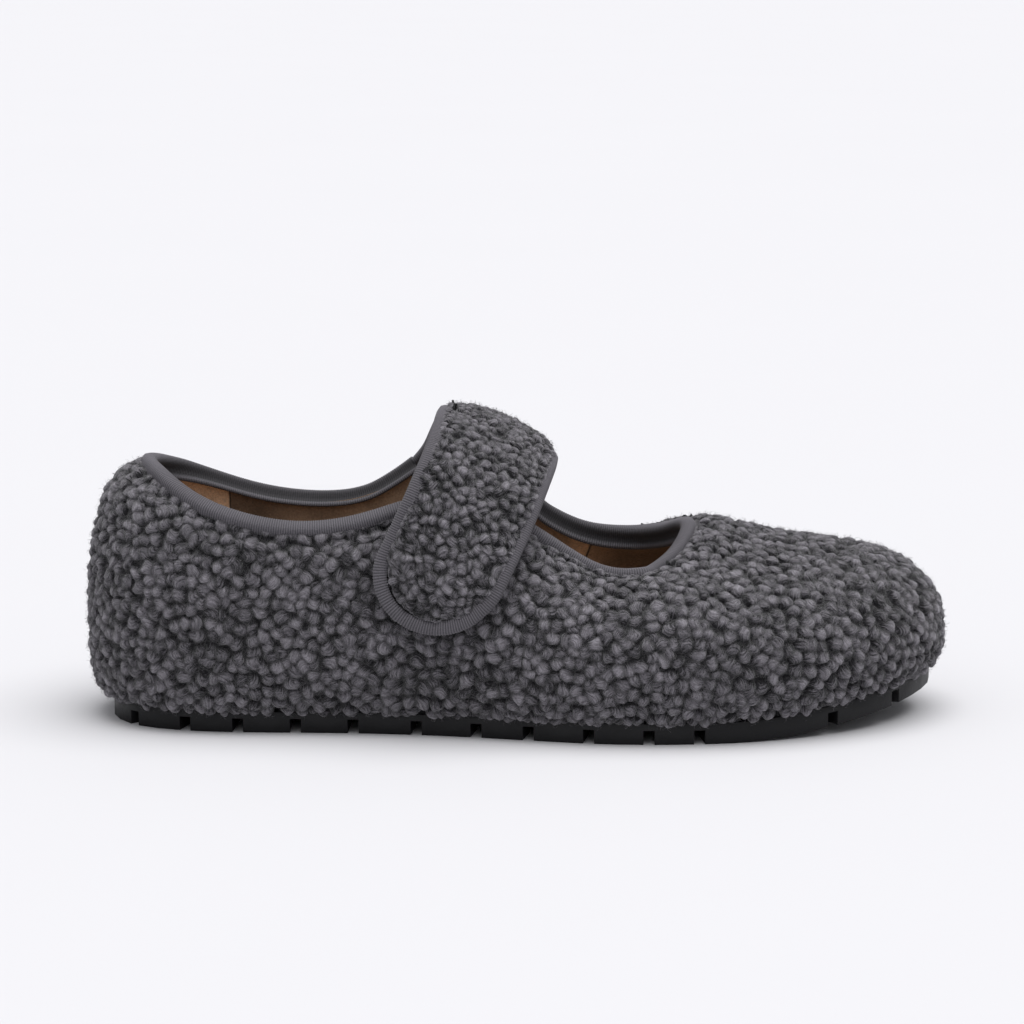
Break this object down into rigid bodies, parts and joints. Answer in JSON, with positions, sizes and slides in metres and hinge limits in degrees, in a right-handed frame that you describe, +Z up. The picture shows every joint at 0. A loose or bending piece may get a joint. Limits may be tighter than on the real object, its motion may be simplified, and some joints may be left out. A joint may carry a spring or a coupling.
{
  "type": "mary jane flat",
  "caption": "Right mary jane flat in dark grey curly fleece, with a bound topline, a bound instep strap that closes on the outer side, a tan suede lining and a flat lugged rubber sole.",
  "frame": {"origin": "centre of the shoe's bounding box in plan, on the floor that the sole stands on", "axes": "+X from heel to toe, +Y towards the inner side of the foot, +Z up"},
  "size_m": [0.2678, 0.101, 0.0966],
  "materials": {
    "outsole_rubber": "matt black moulded rubber",
    "suede_lining": "tan brushed suede",
    "curly_fleece": "charcoal grey curly pile",
    "binding_tape": "mid grey finely ribbed tape"
  },
  "bodies": {
    "root": {"outsole": "outsole_rubber", "insole": "suede_lining", "upper": "curly_fleece", "topline_binding": "binding_tape", "strap": "curly_fleece", "strap_binding": "binding_tape"}
  },
  "joints": []
}
